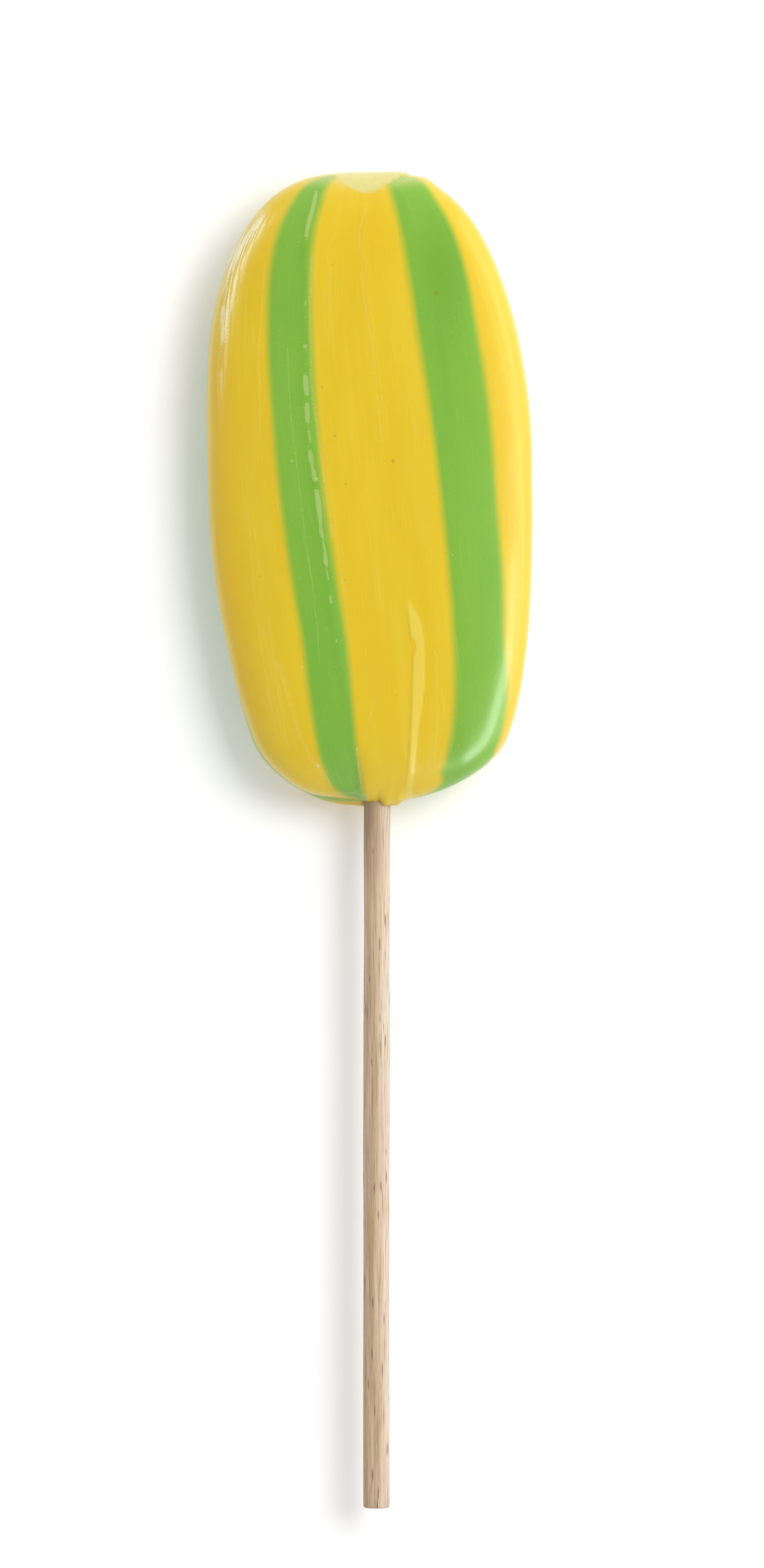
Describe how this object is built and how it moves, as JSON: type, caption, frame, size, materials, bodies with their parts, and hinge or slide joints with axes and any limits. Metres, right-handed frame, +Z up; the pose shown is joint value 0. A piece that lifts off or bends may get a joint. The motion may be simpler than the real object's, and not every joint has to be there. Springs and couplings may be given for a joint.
{
  "type": "striped lollipop",
  "caption": "Oval boiled-sugar lollipop, yellow with twisting green strips and a pale core showing at its cut top, pressed flat round a beech stick; it lies on its flat back.",
  "frame": {"origin": "on the flat back that the candy rests on, under the stick's axis and halfway along the candy", "axes": "+Y along the stick towards the candy's cut top, +Z up out of the shown front, +X to the right seen from the front"},
  "size_m": [0.0564, 0.2309, 0.017],
  "materials": {
    "yellow_candy": "satin, slightly clear boiled sugar",
    "green_candy": "satin, slightly clear boiled sugar",
    "pale_candy": "satin, pulled sugar full of fine air",
    "beech_wood": "raw, sanded"
  },
  "bodies": {
    "root": {"candy_jacket": "yellow_candy", "green_strip_1": "green_candy", "green_strip_2": "green_candy", "green_strip_3": "green_candy", "green_strip_4": "green_candy", "green_strip_5": "green_candy", "pale_core": "pale_candy", "stick": "beech_wood"}
  },
  "joints": []
}
